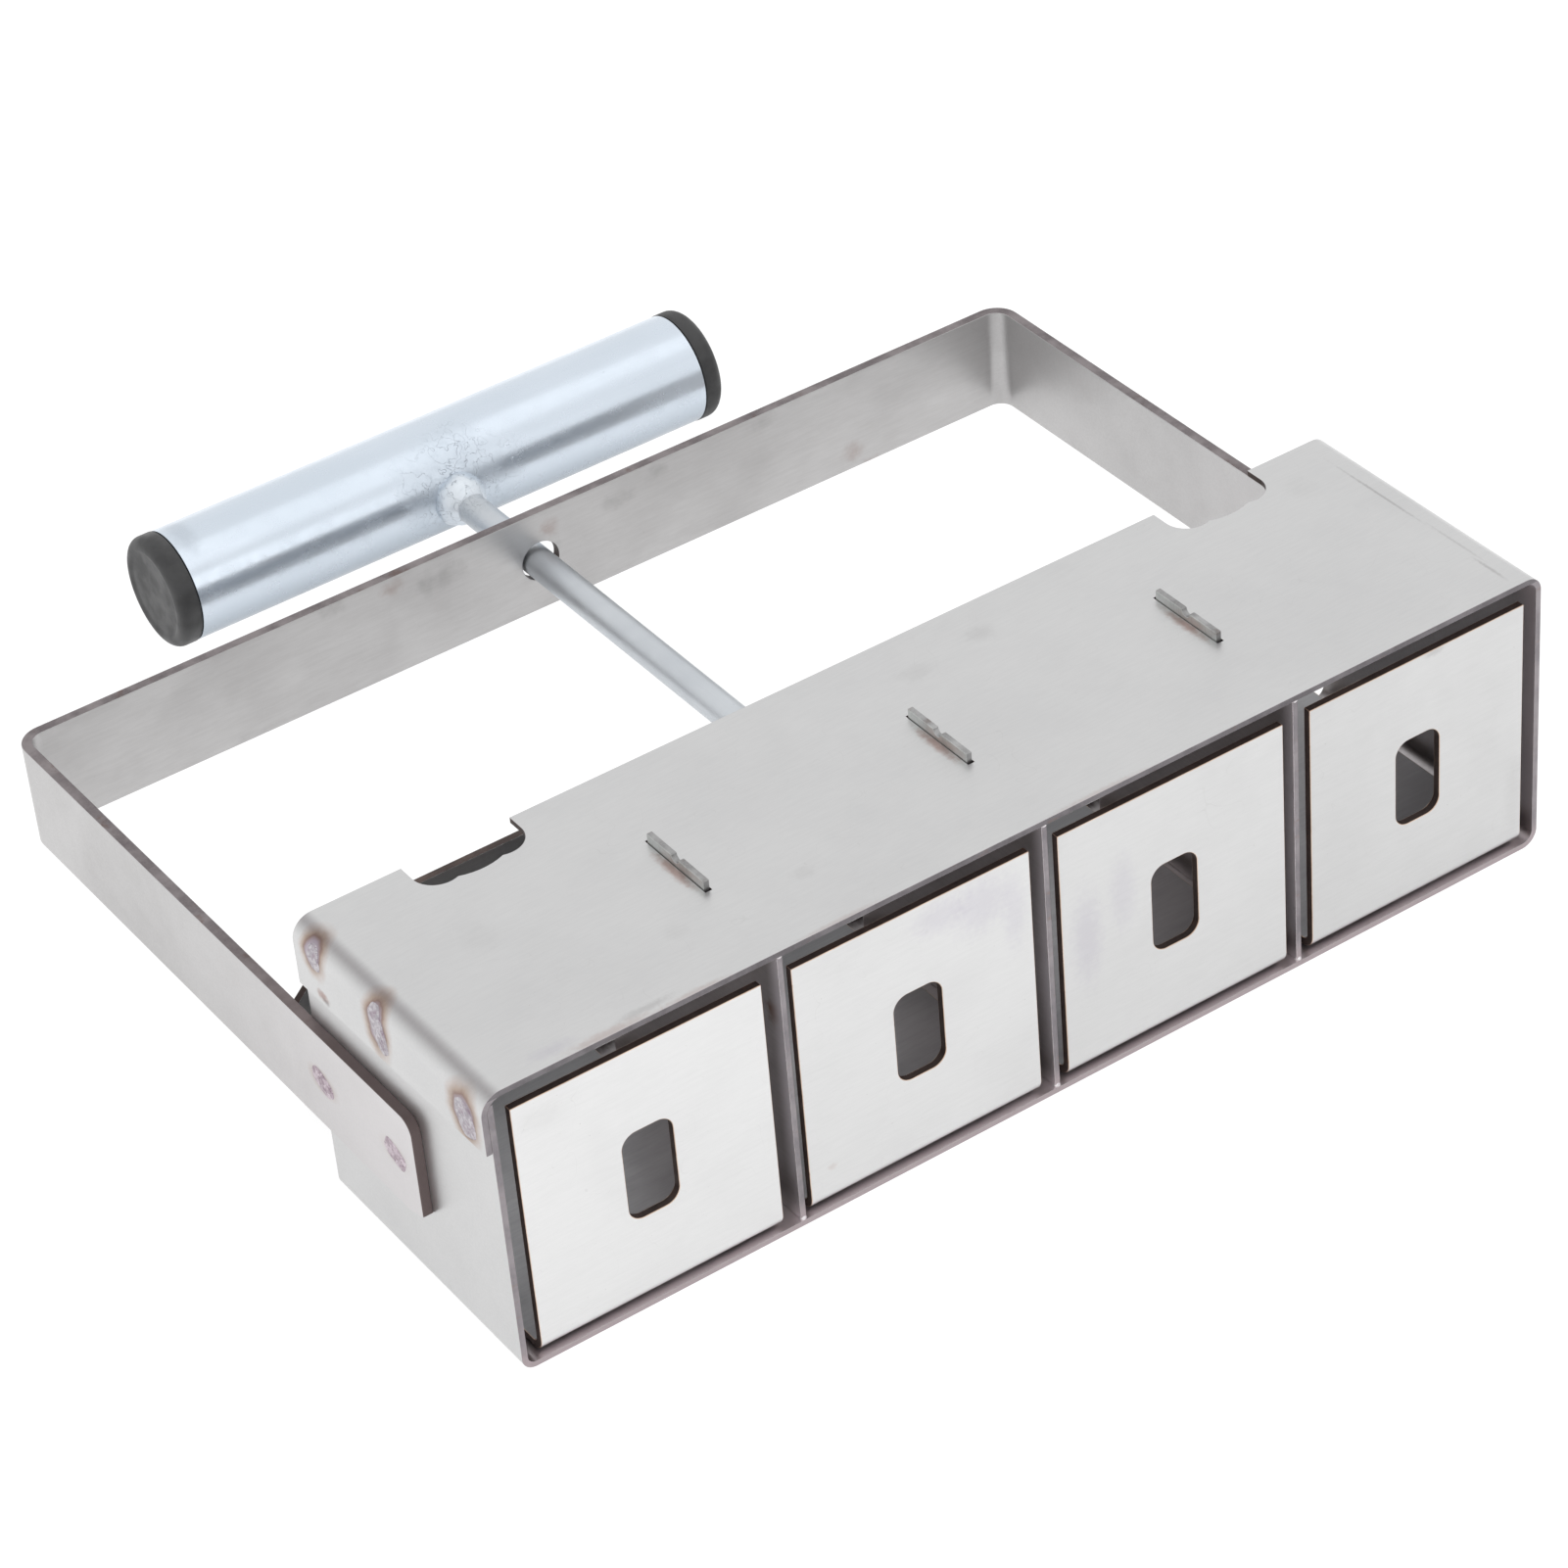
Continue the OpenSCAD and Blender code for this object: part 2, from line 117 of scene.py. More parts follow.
class Finish:
    """One material, with short calls for the nodes that the finishes share."""

    def __init__(self, name, metallic, roughness):
        self.material = bpy.data.materials.new(name)
        self.material.use_nodes = True
        tree = self.material.node_tree
        tree.nodes.clear()
        self.nodes = tree.nodes
        self.links = tree.links
        self.shader = self.nodes.new("ShaderNodeBsdfPrincipled")
        self.shader.inputs["Metallic"].default_value = metallic
        self.shader.inputs["Roughness"].default_value = roughness
        output = self.nodes.new("ShaderNodeOutputMaterial")
        self.links.new(self.shader.outputs["BSDF"], output.inputs["Surface"])
        coords = self.nodes.new("ShaderNodeTexCoord")
        self.place = self.vector("SCALE", coords.outputs["Object"], scale=1 / MM)
        split = self.nodes.new("ShaderNodeSeparateXYZ")
        self.links.new(self.place, split.inputs[0])
        self.along = dict(zip("xyz", split.outputs))

    def feed(self, socket, value):
        """Links a value into a socket, or writes a constant on it."""
        if isinstance(value, bpy.types.NodeSocket):
            self.links.new(value, socket)
        else:
            socket.default_value = value

    def vector(self, operation, a, b=None, scale=None):
        """One calculation with vectors."""
        node = self.nodes.new("ShaderNodeVectorMath")
        node.operation = operation
        self.feed(node.inputs[0], a)
        if b is not None:
            self.feed(node.inputs[1], b)
        if scale is not None:
            self.feed(node.inputs["Scale"], scale)
        return node.outputs["Value" if operation == "LENGTH" else "Vector"]

    def math(self, operation, a, b=0.0):
        """One calculation with numbers."""
        node = self.nodes.new("ShaderNodeMath")
        node.operation = operation
        self.feed(node.inputs[0], a)
        self.feed(node.inputs[1], b)
        return node.outputs[0]

    def remap(self, value, low, high, to_low=0.0, to_high=1.0):
        """Turns the range low..high smoothly into to_low..to_high, held at its ends."""
        node = self.nodes.new("ShaderNodeMapRange")
        node.interpolation_type = "SMOOTHSTEP"
        self.feed(node.inputs["Value"], value)
        ends = {"From Min": low, "From Max": high, "To Min": to_low, "To Max": to_high}
        for name, number in ends.items():
            node.inputs[name].default_value = number
        return node.outputs["Result"]

    def grain(self, size, stretch=(1, 1, 1), detail=2.0, rough=0.5, bend=0.0, shift=0.0):
        """Noise whose features are about size mm across, stretched along the axes."""
        node = self.nodes.new("ShaderNodeTexNoise")
        node.noise_dimensions = "4D"
        spread = self.vector("MULTIPLY", self.place, tuple(1 / (size * s) for s in stretch))
        self.feed(node.inputs["Vector"], spread)
        node.inputs["W"].default_value = shift
        node.inputs["Scale"].default_value = 1.0
        node.inputs["Detail"].default_value = detail
        node.inputs["Roughness"].default_value = rough
        node.inputs["Distortion"].default_value = bend
        return node.outputs["Fac"]

    def creases(self, size, width, shift=0.0):
        """Thin curling lines: 1 on a line and 0 off it."""
        off = self.math("ABSOLUTE", self.math("SUBTRACT", self.grain(size, bend=0.8, shift=shift), 0.5))
        return self.remap(off, width, 0.0)

    def mix(self, amount, a, b, mode="MIX"):
        """Colour b laid over colour a, by an amount from 0 to 1."""
        node = self.nodes.new("ShaderNodeMix")
        node.data_type = "RGBA"
        node.blend_type = mode
        node.clamp_factor = True
        self.feed(node.inputs[0], amount)
        self.feed(node.inputs[6], a)
        self.feed(node.inputs[7], b)
        return node.outputs[2]

    def ramp(self, value, stops):
        """A colour ramp from (place, colour) stops."""
        node = self.nodes.new("ShaderNodeValToRGB")
        self.feed(node.inputs[0], value)
        points = node.color_ramp.elements
        points[0].position, points[0].color = stops[0]
        points[1].position, points[1].color = stops[-1]
        for place, colour in stops[1:-1]:
            points.new(place).color = colour
        return node.outputs["Color"]

    def away(self, centre, reach, ragged=0.0, seed=0.0):
        """Distance from a centre as a share of reach (mm along each axis), with a ragged edge."""
        offset = self.vector("SUBTRACT", self.place, centre)
        share = self.vector("LENGTH", self.vector("MULTIPLY", offset, tuple(1 / r for r in reach)))
        if ragged:
            size = max(0.7, min(reach) * 0.6)
            wobble = self.math("SUBTRACT", self.grain(size, detail=3.0, shift=seed), 0.5)
            share = self.math("ADD", share, self.math("MULTIPLY", wobble, ragged))
        return share

    def stain_and_shade(self, colour, centre, reach, shade, strength, seed=0.0):
        """Multiplies the colour by a shade inside a soft ragged blot, for real marks and for painted
        shade.
        """
        amount = self.remap(self.away(centre, reach, 0.9, seed), 1.0, 0.15, 0.0, strength)
        return self.mix(amount, colour, shade, "MULTIPLY")

    def band(self, axis, start, end):
        """1 at start and 0 from end on, along one axis, in mm."""
        return self.remap(self.along[axis], end, start)

    def bump(self, height):
        """Bump from a height in mm."""
        node = self.nodes.new("ShaderNodeBump")
        node.inputs["Strength"].default_value = 1.0
        node.inputs["Distance"].default_value = MM
        self.feed(node.inputs["Height"], height)
        return node.outputs["Normal"]

    def done(self, colour, roughness, height):
        """Links the three patterns to the shader and gives the material."""
        self.feed(self.shader.inputs["Base Color"], colour)
        self.feed(self.shader.inputs["Roughness"], roughness)
        self.feed(self.shader.inputs["Normal"], self.bump(height))
        return self.material


# Shades that multiply the steel round a weld, from its middle outwards
HEAT_COLOURS = [
    (0.0, tone(214, 206, 212)),
    (0.42, tone(206, 192, 204)),
    (0.54, tone(178, 152, 142)),
    (0.64, tone(216, 196, 182)),
    (0.82, tone(244, 236, 232)),
    (1.0, (1.0, 1.0, 1.0, 1.0)),
]


def sheet_steel(name, light, dark, roughness, along, stains_and_shade=(), heat=(), clouds=0.5, mouth=None,
                bend_shade=None):
    """Rolled sheet: cloudy tone, fine lines along one axis, specks, blots of marks and of painted shade,
    and heat tint round welds.

    mouth gives a place in mm and the lighter colour that the sheet takes on from there towards the open
    mouth: painted light.
    bend_shade gives the x in mm of a bend's outer end, darkest line and inner end, and the colour of that
    line: painted shade along the bend.
    """
    f = Finish(name, 1.0, roughness)
    lines = tuple(12.0 if axis == along else 1.0 for axis in "xyz")
    cloud = f.grain(26.0, detail=4.0, rough=0.55, bend=0.4)
    patch = f.grain(9.0, detail=3.0, rough=0.6, shift=3.0)
    rolled = f.grain(0.5, lines, detail=3.0, rough=0.7)
    speck = f.grain(0.5, detail=2.0, rough=0.6, shift=7.0)
    scratch = f.creases(16.0, 0.0012, shift=13.0)
    shares = f.math("ADD", f.remap(cloud, 0.35, 0.7, 0.0, 0.6), f.remap(patch, 0.45, 0.75, 0.0, 0.4))
    colour = f.mix(f.math("MULTIPLY", shares, clouds), light, dark)
    colour = f.mix(f.remap(rolled, 0.3, 0.7, 0.0, 0.25), colour, dark)
    colour = f.mix(f.remap(speck, 0.71, 0.80, 0.0, 0.4), colour, tone(120, 110, 106))
    colour = f.mix(f.math("MULTIPLY", scratch, 0.10), colour, tone(150, 146, 144))
    # Blots of real marks, and of painted shade where a finish is given one
    for seed, (centre, reach, shade, strength) in enumerate(stains_and_shade):
        colour = f.stain_and_shade(colour, centre, reach, shade, strength, seed=float(seed))
    for seed, (centre, reach) in enumerate(heat):
        tint = f.ramp(f.away(centre, reach, 0.35, seed + 20.0), HEAT_COLOURS)
        colour = f.mix(1.0, colour, tint, "MULTIPLY")
    # Painted light: lighter towards the open mouth
    if mouth:
        end, shade = mouth
        colour = f.mix(f.band("y", MOUTH, end), colour, shade)
    # Painted shade: a dark line along a bend
    if bend_shade:
        outer, darkest, inner, shade = bend_shade
        rise = f.remap(f.along["x"], outer, darkest)
        fall = f.remap(f.along["x"], inner, darkest)
        upper = f.band("z", TOP - FLANGE_BEND, TOP - 2 * FLANGE_BEND)
        amount = f.math("MULTIPLY", f.math("MULTIPLY", rise, fall), upper)
        colour = f.mix(amount, colour, shade, "MULTIPLY")
    base = f.remap(cloud, 0.3, 0.7, roughness - 0.05, roughness + 0.06)
    rough = f.math("ADD", base, f.remap(rolled, 0.3, 0.7, -0.03, 0.03))
    waves = f.math("MULTIPLY", f.grain(30.0, detail=1.0, shift=11.0), 0.06)
    height = f.math("ADD", f.math("MULTIPLY", rolled, 0.004), waves)
    return f.done(colour, rough, height)


def cut_edge(name, light, dark, rust, metallic=0.8, roughness=0.42, fade=None):
    """Cut edge of a sheet: fine lines across it, patches of oxide and rust.

    fade gives an axis, two places along it in mm, and the shade that the edge takes on towards the first.
    """
    f = Finish(name, metallic, roughness)
    lines = f.grain(0.35, (1.0, 1.0, 5.0), detail=3.0, rough=0.7)
    patch = f.grain(6.0, detail=3.0, rough=0.6, shift=2.0)
    fleck = f.grain(1.6, (3.0, 3.0, 1.0), detail=4.0, rough=0.65, shift=5.0)
    colour = f.mix(f.remap(patch, 0.35, 0.65), light, dark)
    colour = f.mix(f.remap(lines, 0.35, 0.65, 0.0, 0.35), colour, light)
    colour = f.mix(f.remap(fleck, 0.56, 0.70, 0.0, 0.6), colour, rust)
    if fade:
        axis, start, end, shade = fade
        colour = f.mix(f.band(axis, start, end), colour, shade)
    rough = f.remap(patch, 0.3, 0.7, roughness - 0.06, roughness + 0.12)
    return f.done(colour, rough, f.math("MULTIPLY", lines, 0.012))


def weld_metal(name, light, dark, rim):
    """Frozen weld pool: ripples, a coloured film and small pits."""
    f = Finish(name, 1.0, 0.4)
    ripple = f.grain(1.1, detail=3.0, rough=0.55, bend=1.0)
    film = f.grain(1.8, detail=2.0, shift=4.0)
    pit = f.grain(0.6, detail=2.0, rough=0.6, shift=9.0)
    colour = f.mix(f.remap(ripple, 0.38, 0.62), light, dark)
    colour = f.mix(f.remap(film, 0.48, 0.62, 0.0, 0.6), colour, rim)
    colour = f.mix(f.creases(1.5, 0.02, shift=2.0), colour, rim)
    colour = f.mix(f.remap(pit, 0.70, 0.78, 0.0, 0.8), colour, tone(78, 66, 66))
    height = f.math("SUBTRACT", ripple, f.remap(pit, 0.68, 0.78, 0.0, 0.5))
    return f.done(colour, f.remap(ripple, 0.3, 0.7, 0.36, 0.55), f.math("MULTIPLY", height, 0.05))


def zinc(name, light, dark, roughness, along, worn, marks=(), low=None):
    """Bright zinc plate: drawing lines, small flecks, and a dull creased zone round the weld.

    low gives two heights in mm and the darker colour that the plate takes on from the second down to the
    first: painted shade on the lower side.
    """
    f = Finish(name, 1.0, roughness)
    lines = tuple(60.0 if axis == along else 1.0 for axis in "xyz")
    drawn = f.grain(0.7, lines, detail=3.0, rough=0.6)
    haze = f.grain(14.0, (2.0, 1.0, 1.0), detail=3.0, shift=3.0)
    mottle = f.grain(1.5, detail=4.0, rough=0.7, bend=0.6)
    fleck = f.grain(0.6, detail=2.0, shift=8.0)
    spread = f.grain(3.2, detail=3.0, shift=6.0)
    centre, reach = worn
    near = f.remap(f.away(centre, reach, 0.8), 1.0, 0.3)
    creased = f.math("MULTIPLY", near, f.creases(2.6, 0.008, shift=1.0))
    colour = f.mix(f.remap(haze, 0.35, 0.7, 0.0, 0.5), light, dark)
    colour = f.mix(f.remap(drawn, 0.35, 0.65, 0.0, 0.14), colour, dark)
    worn_shade = f.math("MULTIPLY", near, f.remap(mottle, 0.46, 0.66, 0.0, 0.15))
    colour = f.mix(worn_shade, colour, tone(134, 148, 160))
    colour = f.mix(f.math("MULTIPLY", creased, 0.5), colour, tone(96, 104, 112))
    colour = f.mix(f.remap(fleck, 0.71, 0.79, 0.0, 0.3), colour, tone(132, 144, 156))
    for seed, (place, size, shade, strength) in enumerate(marks):
        colour = f.stain_and_shade(colour, place, size, shade, strength, seed=float(seed))
    # Painted shade: darker towards the bottom
    if low:
        bottom, top, shade = low
        colour = f.mix(f.band("z", bottom, top), colour, shade)
    rough = f.math("ADD", f.remap(spread, 0.3, 0.7, roughness - 0.03, roughness + 0.05),
                   f.math("MULTIPLY", near, 0.16))
    dents = f.math("MULTIPLY", f.math("MULTIPLY", mottle, near), 0.05)
    height = f.math("ADD", f.math("MULTIPLY", drawn, 0.003), dents)
    height = f.math("SUBTRACT", height, f.math("MULTIPLY", creased, 0.05))
    return f.done(colour, rough, height)


def moulded_plastic(name):
    """Black moulded plastic with a fine matt skin and pale scuffs."""
    f = Finish(name, 0.0, 0.5)
    skin = f.grain(0.3, detail=2.0, rough=0.6)
    flow = f.grain(4.0, detail=3.0, shift=2.0)
    scuff = f.grain(0.8, detail=3.0, rough=0.7, bend=0.8, shift=5.0)
    colour = f.mix(f.remap(flow, 0.35, 0.7), tone(58, 58, 59), tone(48, 48, 49))
    colour = f.mix(f.remap(scuff, 0.68, 0.78, 0.0, 0.5), colour, tone(104, 104, 104))
    return f.done(colour, f.remap(flow, 0.3, 0.7, 0.42, 0.58), f.math("MULTIPLY", skin, 0.02))


# Marks on the roof, on the strap and on the ejectors: centre, reach, shade and strength
VIOLET = tone(222, 216, 232)
GREY = tone(200, 198, 198)
BROWN = tone(196, 160, 150)
ROOF_MARKS = [
    ((-93, MOUTH + 3, TOP), (6, 2.0, 2), VIOLET, 0.25),
    ((-84, MOUTH + 0.6, TOP), (11, 1.6, 2), BROWN, 0.35),
    ((-76, MOUTH + 2.0, TOP), (7, 1.2, 2), GREY, 0.4),
    ((-68, MOUTH + 0.2, TOP), (9, 1.2, 2), BROWN, 0.3),
    ((-40, MOUTH + 0.2, TOP), (12, 1.0, 2), BROWN, 0.25),
    ((12, MOUTH + 0.2, TOP), (14, 1.0, 2), BROWN, 0.25),
    ((-86.6, 5.3, TOP), (5, 6, 2), GREY, 0.09),
    ((-61.8, -13.9, TOP), (3, 3, 2), GREY, 0.1),
    ((-37.5, -14.6, TOP), (3, 2, 2), GREY, 0.15),
    ((8.6, 17.9, TOP), (5, 3, 2), GREY, 0.15),
    ((23.6, 20.0, TOP), (4, 3, 2), GREY, 0.2),
    ((93, 18.4, TOP), (4, 5, 2), GREY, 0.08),
    ((101.4, -22, TOP), (0.5, 6, 2), GREY, 0.5),
    ((101.8, 8, TOP), (0.4, 16, 2), GREY, 0.6),
    ((102.2, -12, TOP), (0.4, 10, 2), GREY, 0.35),
    # Brown bands along the tabs' feet: a real reddish tint round the slots, with a painted reflection of
    # the tabs
    ((-53.2, -1, TOP), (1.5, 8.5, 2), BROWN, 0.75),
    ((-0.7, -1, TOP), (1.5, 8.5, 2), BROWN, 0.75),
    ((51.7, -1, TOP), (1.5, 8.5, 2), BROWN, 0.75),
    ((FLANGE_FACE, MOUTH + 49.5, TOP - 10.6), (3, 2.6, 1.5), BROWN, 0.8),
    ((FLANGE_FACE, MOUTH + 48.6, TOP - 11.4), (3, 1.6, 1.0), GREY, 0.9),
]
STRAP_MARKS = [
    ((-44, STRAP_BACK, 36.8), (5, 4, 3), GREY, 0.5),
    ((-31.5, STRAP_BACK, 35.3), (4, 4, 3), BROWN, 0.45),
    ((-21, STRAP_BACK, 32.9), (9, 4, 4), GREY, 0.6),
    ((17.7, STRAP_BACK, 32.9), (7, 4, 3), GREY, 0.5),
    ((26.8, STRAP_BACK, 35.3), (4, 4, 3), GREY, 0.45),
    ((51, STRAP_BACK, 35.8), (5, 4, 3), GREY, 0.35),
    ((71, STRAP_BACK, 20.3), (4, 4, 3), BROWN, 0.5),
    ((75, STRAP_BACK, 16.3), (3, 4, 2), BROWN, 0.5),
    ((2.6, STRAP_BACK, 33.5), (3, 4, 3), BROWN, 0.6),
    ((0, STRAP_BACK, PULL_Z), (7, 4, 7), GREY, 0.5),
]
FACE_MARKS = {
    1: [((-98, MOUTH, 49), (6, 2, 4), GREY, 0.10)],
    2: [
        ((-21, MOUTH, 49.3), (8, 2, 5), VIOLET, 0.3),
        ((-13, MOUTH, 47.3), (8, 2, 8), VIOLET, 0.32),
        ((-6.5, MOUTH, 42.8), (3.5, 2, 11), VIOLET, 0.26),
        ((-45.6, MOUTH, 9.3), (1.4, 2, 1.0), BROWN, 0.2),
    ],
    3: [
        ((8, MOUTH, 29.3), (4.5, 2, 14), VIOLET, 0.32),
        ((15.7, MOUTH, 35.3), (4, 2, 11), VIOLET, 0.25),
    ],
    4: [
        ((83, MOUTH, 52.8), (3, 2, 1.2), GREY, 0.4),
        ((101.4, MOUTH, 12), (3, 2, 12), GREY, 0.12),
    ],
}

# Welds on the flange: distance from the mouth, depth below the top, half width and half height
SEAM_SPOTS = [(51.0, 3.7, 1.9, 2.8), (31.3, 6.0, 2.2, 5.3), (5.4, 7.2, 3.0, 4.2)]
SEAM_LEAN = math.radians(17)
SEAM_LIFT = 0.30

# Welds on each strap leg: distances from the mouth, and the half sizes, dip and height of one
STRAP_SPOTS = [30.3, 53.1]
STRAP_PAD = (3.7, 2.3)
STRAP_DIP = math.radians(24)
STRAP_LIFT = 0.33

# Heat tint round those welds: centre and reach
SEAM_HEAT = [
    ((FLANGE_FACE, MOUTH + y + 0.4, TOP - z + 0.6), (6.0, wide + 2.7, half + 2.9))
    for y, z, wide, half in SEAM_SPOTS
]
STRAP_HEAT = [
    ((side * STRAP_SIDE, MOUTH + y, PULL_Z), (2, 5.4, 3.2))
    for side in (-1, 1) for y in STRAP_SPOTS
]

# Finishes: light and dark tone, then what sets each one apart
# Painted shade: a dark line along the bend between roof and flange
FLANGE_BEND_SHADE = (FLANGE_FACE + 0.5, FLANGE_FACE + 2.2, FLANGE_FACE + 4.3, tone(206, 203, 204))
steel_outside = sheet_steel("casing_sheet", tone(208, 208, 208), tone(196, 196, 197), 0.36, "x",
                            ROOF_MARKS, SEAM_HEAT, clouds=0.35, bend_shade=FLANGE_BEND_SHADE)
# Inside of the casing: the casing steel made darker as painted shade, with a painted shadow along the
# floor at the rear lip, and painted light towards the mouth with a faint pink tint
steel_inside_shaded = sheet_steel("casing_inside_shaded", tone(190, 186, 187), tone(168, 163, 164), 0.42, "x",
                           [((0, REAR + 2.5, SHEET_T), (400, 4, 3), tone(96, 88, 88), 1.0)],
                           mouth=(MOUTH + 6.0, tone(226, 214, 217)))
# Dividers' sides: a darker copy of the sheet as painted shade, painted lighter towards their front edges
# as painted light
steel_divider_shaded = sheet_steel("divider_sheet_shaded", tone(180, 172, 172), tone(152, 144, 143), 0.40, "y",
                            [((-52.4, MOUTH + 2.5, 44), (2, 3, 4), tone(176, 130, 100), 1.0)],
                            mouth=(MOUTH + 4.2, tone(250, 242, 246)))
# Ejectors' backs and legs: a darker copy of the steel as painted shade
steel_leg_shaded = sheet_steel("ejector_back_shaded", tone(160, 160, 162), tone(138, 137, 139), 0.42, "x")
# The four ejector faces are one steel in lit and shaded copies: painted light, lightest on the left and
# darker towards the right
FACE_LIT_TONES = {1: 226, 2: 220, 3: 214, 4: 209}
steel_face = {}
for i, grey in FACE_LIT_TONES.items():
    light = tone(grey, grey, grey)
    dark = tone(grey - 10, grey - 10, grey - 10)
    steel_face[i] = sheet_steel(f"ejector_face_{i}", light, dark, 0.38, "x", FACE_MARKS[i], clouds=0.4)
# The strap gets lighter towards its front end: painted light
steel_strap = sheet_steel("strap_bar", tone(194, 193, 193), tone(174, 172, 172), 0.38, "x",
                          STRAP_MARKS, STRAP_HEAT, mouth=(85.0, tone(212, 209, 210)))
steel_crosshead = sheet_steel("crosshead_sheet", tone(206, 206, 206), tone(184, 184, 184), 0.40, "x")
edge_mouth = cut_edge("mouth_edge", tone(150, 144, 147), tone(128, 123, 127), tone(140, 122, 118),
                      roughness=0.36, fade=("z", 1.2, 6.0, tone(172, 160, 163)))
edge_roof = cut_edge("roof_edge", tone(119, 115, 118), tone(101, 97, 100), tone(116, 100, 96),
                     roughness=0.36)
# Soft edges of the casing, painted dark at the rear lip as painted shade
edge_mouth_rim = cut_edge("mouth_rim", tone(176, 170, 172), tone(160, 154, 156), tone(170, 152, 144),
                          metallic=0.9, roughness=0.34, fade=("y", LIP - 0.3, LIP - 1.1, tone(58, 54, 54)))
edge_burnt = cut_edge("burnt_edge", tone(92, 78, 73), tone(66, 56, 54), tone(104, 76, 62), metallic=0.6)
edge_strap = cut_edge("strap_edge", tone(138, 131, 132), tone(108, 101, 103), tone(98, 72, 62),
                      metallic=0.7, fade=("y", 8.0, 70.0, tone(108, 95, 94)))
rim_bright = cut_edge("ejector_rim", tone(222, 200, 182), tone(198, 170, 148), tone(164, 124, 96),
                      metallic=1.0, roughness=0.3)
tab_side = cut_edge("tab_side", tone(218, 220, 218), tone(188, 191, 189), tone(158, 146, 142),
                    metallic=1.0, roughness=0.34)
tab_top = cut_edge("tab_top", tone(176, 176, 176), tone(138, 137, 137), tone(116, 104, 100), metallic=0.9)
weld_seam = weld_metal("seam_weld", tone(196, 192, 196), tone(172, 167, 173), tone(148, 132, 144))
weld_strap = weld_metal("strap_weld", tone(206, 194, 201), tone(180, 166, 175), tone(140, 122, 132))
weld_drop = weld_metal("weld_drop", tone(246, 244, 245), tone(224, 220, 222), tone(196, 188, 192))
weld_inner = weld_metal("inner_weld", tone(206, 204, 206), tone(150, 146, 150), tone(140, 124, 132))
HANDLE_ZONE = ((ROD_X, HANDLE_Y - TUBE_R, PULL_Z + 3), (17, 15, 15))
TUBE_MARKS = [((TUBE_LEFT + 3, HANDLE_Y, PULL_Z + TUBE_R), (3, 12, 12), tone(190, 190, 192), 0.25)]
# Painted shade: the tube grows darker towards its lower side
TUBE_LOW_SHADE = (PULL_Z - TUBE_R, PULL_Z + 1, tone(150, 160, 170))
zinc_tube = zinc("tube_zinc", tone(215, 224, 234), tone(204, 214, 224), 0.24, "x", HANDLE_ZONE,
                 marks=TUBE_MARKS, low=TUBE_LOW_SHADE)
zinc_rod = zinc("rod_zinc", tone(208, 212, 216), tone(188, 193, 199), 0.44, "y", HANDLE_ZONE)
zinc_weld = zinc("weld_zinc", tone(226, 232, 238), tone(204, 213, 222), 0.30, "x", HANDLE_ZONE)
black_plastic = moulded_plastic("cap_plastic")


# Shapes
def merged_copy(node):
    """A CAD node's shape with its loose triangles joined and its flat faces made whole."""
    bm = bmesh.new()
    bm.from_mesh(frame["nodes"][node].data)
    bmesh.ops.remove_doubles(bm, verts=bm.verts, dist=0.002 * MM)
    bmesh.ops.dissolve_limit(bm, angle_limit=math.radians(0.5), verts=bm.verts, edges=bm.edges)
    return bm


def piece_from(bm, name, materials):
    """Links a mesh as a new object at the origin."""
    bmesh.ops.recalc_face_normals(bm, faces=bm.faces)
    mesh = bpy.data.meshes.new(name)
    bm.to_mesh(mesh)
    bm.free()
    for material in materials:
        mesh.materials.append(material)
    mesh.shade_smooth()
    piece = bpy.data.objects.new(name, mesh)
    bpy.context.scene.collection.objects.link(piece)
    return piece


def stands_for(piece, slot, body, *nodes):
    """Puts a piece in place of CAD nodes."""
    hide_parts(*nodes)
    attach(piece, body)


def sheet_piece(node, slot, body, finishes, choose, soft_mm=0.12, rim=-1, parting=None):
    """A CAD sheet with softened edges. choose gives each face's finish, and rim that of the soft edges.

    Faces that cross the height parting, in mm, are divided there, so that their two parts can differ.
    """
    bm = merged_copy(node)
    if parting is not None:
        geometry = bm.verts[:] + bm.edges[:] + bm.faces[:]
        bmesh.ops.bisect_plane(bm, geom=geometry, plane_co=(0, 0, parting * MM), plane_no=(0, 0, 1))
    for face in bm.faces:
        face.material_index = choose(face.calc_center_median() / MM, face.normal)
    piece = piece_from(bm, node + "_sheet", finishes)
    bevel = piece.modifiers.new("soft edges", "BEVEL")
    bevel.width = soft_mm * MM
    bevel.segments = 2
    bevel.limit_method = "ANGLE"
    bevel.angle_limit = math.radians(35)
    bevel.material = rim
    flat = piece.modifiers.new("flat faces", "WEIGHTED_NORMAL")
    flat.keep_sharp = True
    flat.weight = 100
    stands_for(piece, slot, body, node)


def casing_faces(p, n):
    """Outside 0, inside 1 in painted shade, mouth edge 2, burnt edges 3, roof's mouth edge 5. The soft
    edges are 4, painted dark at the rear lip as painted shade.
    """
    in_roof = p.z > TOP - SHEET_T
    if n.y < -0.5 and p.y < MOUTH + 1:
        return 5 if in_roof else 2
    in_slot = in_roof and abs(p.x) < SLOT_REACH and (abs(n.x) > 0.5 or abs(n.z) < 0.3)
    if abs(n.y) > 0.5 or in_slot:
        return 3
    under_flange = p.x < -WALL - 0.1 and p.z > PULL_Z
    if under_flange and n.z < -0.5:
        return 2
    from_middle = Vector((p.x, 0, p.z - TOP / 2))
    inward = n.dot(from_middle) < 0
    return 1 if inward else 0


def divider_faces(p, n):
    """Sides 0 in painted shade, lighter towards the front as painted light, front edge 1, tab sides 2, tab
    top 3.
    """
    if p.z > TAB_FOOT:
        return 2 if abs(n.x) > 0.5 else 3
    return 1 if n.y < -0.5 else 0


